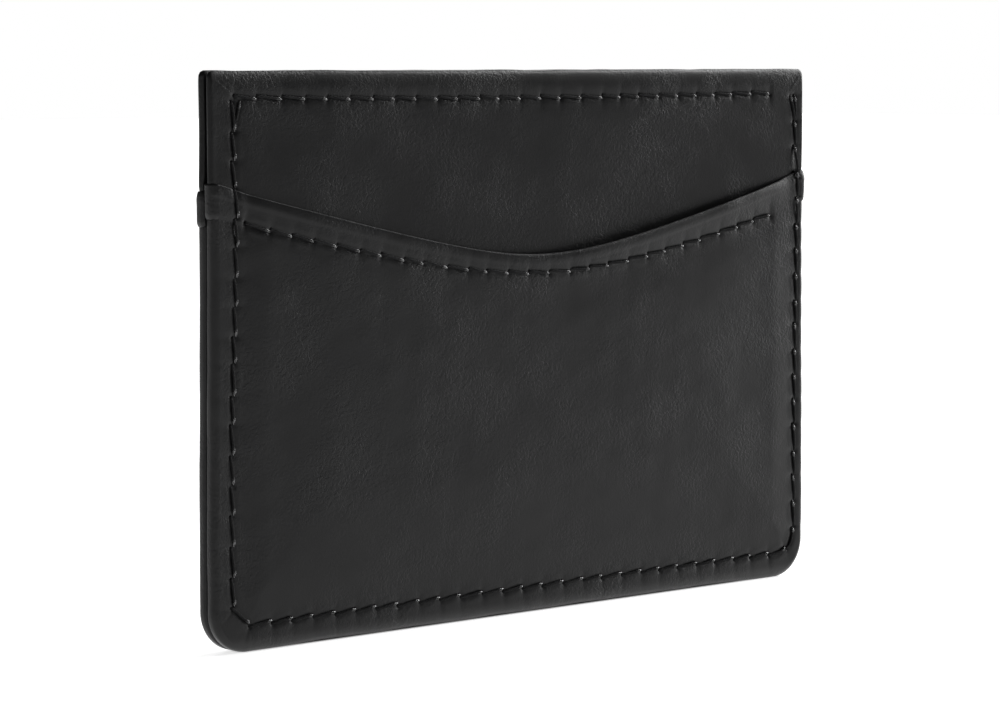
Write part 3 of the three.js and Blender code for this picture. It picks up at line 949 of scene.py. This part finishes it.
def floor_material():
    n = Nodes("pale_floor")
    haze = n.noise(60, 3.0)
    colour = n.ramp(haze, (0.3, (0.86, 0.86, 0.86)), (0.7, (0.9, 0.9, 0.9)))
    rough = n.ranged(haze, 0.3, 0.7, 0.6, 0.7)
    white = {"Emission Color": (1, 1, 1, 1)}
    # The floor's glow is cut off under the holder and fades back in within about a millimetre of its
    # footprint: a painted contact shadow.
    under = n.outside(HALF_WIDTH - CORNER_ACROSS, BODY_IN)
    glow_with_painted_contact_shadow = n.ranged(under, 0.2 * MM, 1.2 * MM, 0.0, FLOOR_GLOW)
    n.tree.links.new(glow_with_painted_contact_shadow, n.shader.inputs["Emission Strength"])
    return n.finish(colour, rough, n.bump(n.noise(0.8, 2.0), 0.02, 0.3), **white)


def dress(piece, material, slot, *nodes):
    """Gives a piece its material, hides the CAD nodes it is drawn for, and puts it on the body. slot is not
    used.
    """
    piece.data.materials.append(material)
    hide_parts(*nodes)
    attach(piece, "root")
    return piece


# ---- lining ----
def lining(name, facing):
    """The thin cloth in the window of the turned edges, as a sheet with a slightly wavy hand."""
    inset = 0.05
    side = LINING_HALF_WIDTH - inset
    low, high = LINING_LOW + inset, LINING_HIGH - inset
    x, y = np.meshgrid(graded(-side, (side, 0.8)), graded(high, (low, 0.8)))
    middle = (LINING_IN + LINING_OUT) / 2
    near_edge = np.minimum(side - np.abs(x), np.minimum(high - y, y - low))
    wavy = 0.03 * waves(x, y, 40 + facing, 6, 20) * smooth(near_edge / 3)
    face = np.stack([x, y, middle + wavy], axis=-1)
    index = np.arange(x.size).reshape(x.shape)
    return new_piece(name, face.reshape(-1, 3), quads(index), facing)


# ---- camera, light and floor ----
VIEW_TURN = math.radians(-41.48)
VIEW_RISE = math.radians(5.011)
VIEW_DISTANCE = 442.6
VIEW_ASIDE = (-2.907, -2.264)
LENS = 123.5
SENSOR = 36.0


def direction(turn, rise):
    """The way out from the holder, turned from its front towards +X and rising off the floor."""
    level = math.cos(rise)
    return Vector((math.sin(turn) * level, -math.cos(turn) * level, math.sin(rise)))


def add_camera():
    back = direction(VIEW_TURN, VIEW_RISE)
    right = Vector((math.cos(VIEW_TURN), math.sin(VIEW_TURN), 0))
    up = back.cross(right)
    centre = Vector((0, 0, HEIGHT / 2)) + right * VIEW_ASIDE[0] + up * VIEW_ASIDE[1]
    data = bpy.data.cameras.new("camera")
    data.lens = LENS
    data.sensor_width = SENSOR
    data.clip_start = 0.01
    camera = bpy.data.objects.new("camera", data)
    camera.location = (centre + back * VIEW_DISTANCE) * MM
    camera.rotation_euler = back.to_track_quat("Z", "Y").to_euler()
    bpy.context.scene.collection.objects.link(camera)
    bpy.context.scene.camera = camera


def add_sun(name, turn, rise, strength, spread):
    """A broad soft light from far away. turn is from the front towards +X, rise above the floor."""
    towards = direction(math.radians(turn), math.radians(rise))
    data = bpy.data.lights.new(name, "SUN")
    data.energy = strength
    data.angle = math.radians(spread)
    light = bpy.data.objects.new(name, data)
    light.rotation_euler = towards.to_track_quat("Z", "Y").to_euler()
    bpy.context.scene.collection.objects.link(light)


def add_world(ambient):
    """A dim even room as light, and plain white behind everything."""
    world = bpy.data.worlds.new("room")
    world.use_nodes = True
    tree = world.node_tree
    room = tree.nodes["Background"]
    room.inputs["Color"].default_value = (1, 1, 1, 1)
    room.inputs["Strength"].default_value = ambient
    white = tree.nodes.new("ShaderNodeBackground")
    white.inputs["Color"].default_value = (1, 1, 1, 1)
    path = tree.nodes.new("ShaderNodeLightPath")
    mix = tree.nodes.new("ShaderNodeMixShader")
    tree.links.new(path.outputs["Is Camera Ray"], mix.inputs["Fac"])
    tree.links.new(room.outputs[0], mix.inputs[1])
    tree.links.new(white.outputs[0], mix.inputs[2])
    tree.links.new(mix.outputs[0], tree.nodes["World Output"].inputs["Surface"])
    bpy.context.scene.world = world


def add_floor():
    half = 3.0
    mesh = bpy.data.meshes.new("floor")
    corners = [(-half, -half, 0), (half, -half, 0), (half, half, 0), (-half, half, 0)]
    mesh.from_pydata(corners, [], [(0, 1, 2, 3)])
    floor = bpy.data.objects.new("floor", mesh)
    mesh.materials.append(floor_material())
    bpy.context.scene.collection.objects.link(floor)


# ---- the holder ----
def build_half(name, facing, end, perimeter, perimeter_node, seed):
    mouth = Mouth(end)
    along_top = top_seam(seed + 1)
    along_mouth = mouth_seam(mouth, seed + 2)
    body = body_leather(f"{name}_body_leather", facing, (perimeter, along_top), mouth, seed)
    dress(body, BODY_LEATHER, "body_leather", f"{name}_body")
    pocket = pocket_leather(f"{name}_pocket_leather", facing, mouth, perimeter, along_mouth, seed + 3)
    dress(pocket, POCKET_LEATHER, "pocket_leather", f"{name}_pocket")

    def on_pocket(x, y):
        return pocket_level(x, y, mouth, perimeter, seed + 3)

    def on_body(x, y):
        return body_level(x, y, seed)

    def on_either(x, y):
        return np.where(y > mouth.height(x), on_body(x, y), on_pocket(x, y))

    def in_slot(x, y):
        return np.full_like(x, BODY_IN)

    def in_pocket(x, y):
        return on_pocket(x, y) - FACE - HEM

    seams = (
        (perimeter_node, perimeter, on_either, 1),
        (f"{name}_top_needle_thread", along_top, on_body, 1),
        (f"{name}_top_bobbin_thread", along_top, in_slot, -1),
        (f"{name}_mouth_needle_thread", along_mouth, on_pocket, 1),
        (f"{name}_mouth_bobbin_thread", along_mouth, in_pocket, -1),
    )
    for node, seam, level, out in seams:
        stitches = twisted(stitch_lines(seam, level, out), node.replace("thread", "stitches"), facing)
        dress(stitches, THREAD_BLACK, "thread", node)

    cloth = lining(f"{name}_lining_cloth", facing)
    dress(cloth, LINING_BLACK, "lining_cloth", f"{name}_lining")
    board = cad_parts[f"{name}_stiffener"]
    board.data.materials.clear()
    board.data.materials.append(BOARD_GREY)


GLOSS, GRAIN = 0.36, 0.9
BODY_BLACKS = (0.004, 0.004, 0.0042), (0.008, 0.008, 0.0083)
POCKET_BLACKS = (0.005, 0.005, 0.0052), (0.009, 0.009, 0.0093)
BODY_LEATHER = leather("body_leather", *BODY_BLACKS, GLOSS, GRAIN, shine=0.175)
POCKET_LEATHER = leather("pocket_leather", *POCKET_BLACKS, GLOSS, GRAIN, shine=0.21)
THREAD_BLACK = thread_material()
LINING_BLACK = cloth_material()
BOARD_GREY = board_material()

add_camera()
round_the_edge = perimeter_seam()
build_half("front", FRONT, MOUTH_END, round_the_edge, "perimeter_needle_thread", 100)
build_half("back", BACK, BACK_MOUTH_END, round_the_edge.turned(), "perimeter_bobbin_thread", 200)

add_floor()
add_sun("side_light", 87, 22, 4.1, 50)
add_sun("back_light", 140, 14, 1.2, 54)
add_world(0.06)
bpy.context.scene.view_settings.view_transform = "Standard"
